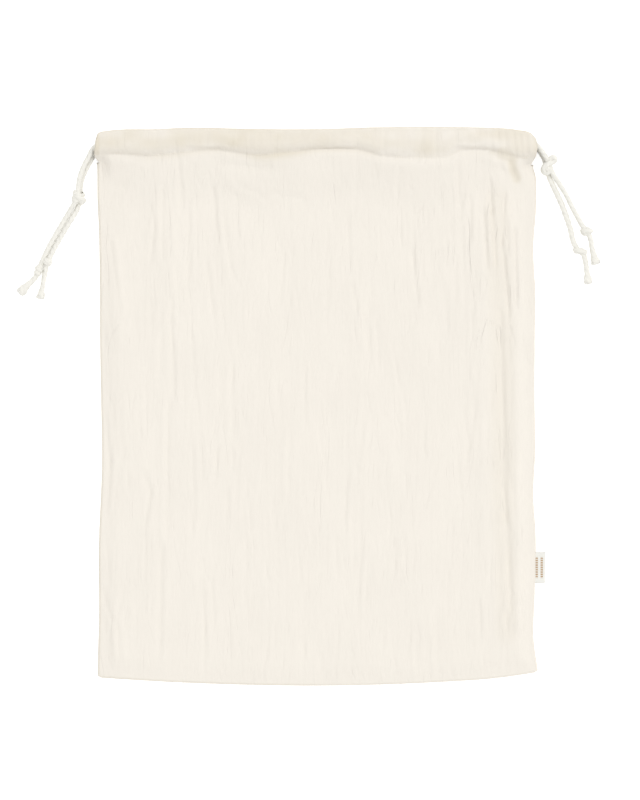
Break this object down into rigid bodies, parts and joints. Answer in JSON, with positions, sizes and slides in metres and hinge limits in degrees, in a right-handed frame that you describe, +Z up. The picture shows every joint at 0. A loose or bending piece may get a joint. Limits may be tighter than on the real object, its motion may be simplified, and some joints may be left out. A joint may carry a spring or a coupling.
{
  "type": "muslin drawstring bag",
  "caption": "Flat muslin bag with a stitched casing at the mouth, a knotted drawstring on each side and a folded side label, lying empty on its back.",
  "frame": {"origin": "on the surface that the bag lies on, under the middle of the box around its cloth and label", "axes": "+X to the bag's right as it lies face up, +Y up the bag to its mouth, +Z up from the surface"},
  "size_m": [0.5274, 0.5088, 0.0218],
  "materials": {
    "muslin": "matt crinkled double gauze, unbleached cream",
    "cotton_cord": "matt twisted cotton cord, off-white",
    "label_ribbon": "matt woven ribbon with a plain tan dash pattern"
  },
  "bodies": {
    "root": {"front_panel": "muslin", "back_panel": "muslin", "drawstring_left": "cotton_cord", "drawstring_right": "cotton_cord", "side_label": "label_ribbon"}
  },
  "joints": []
}
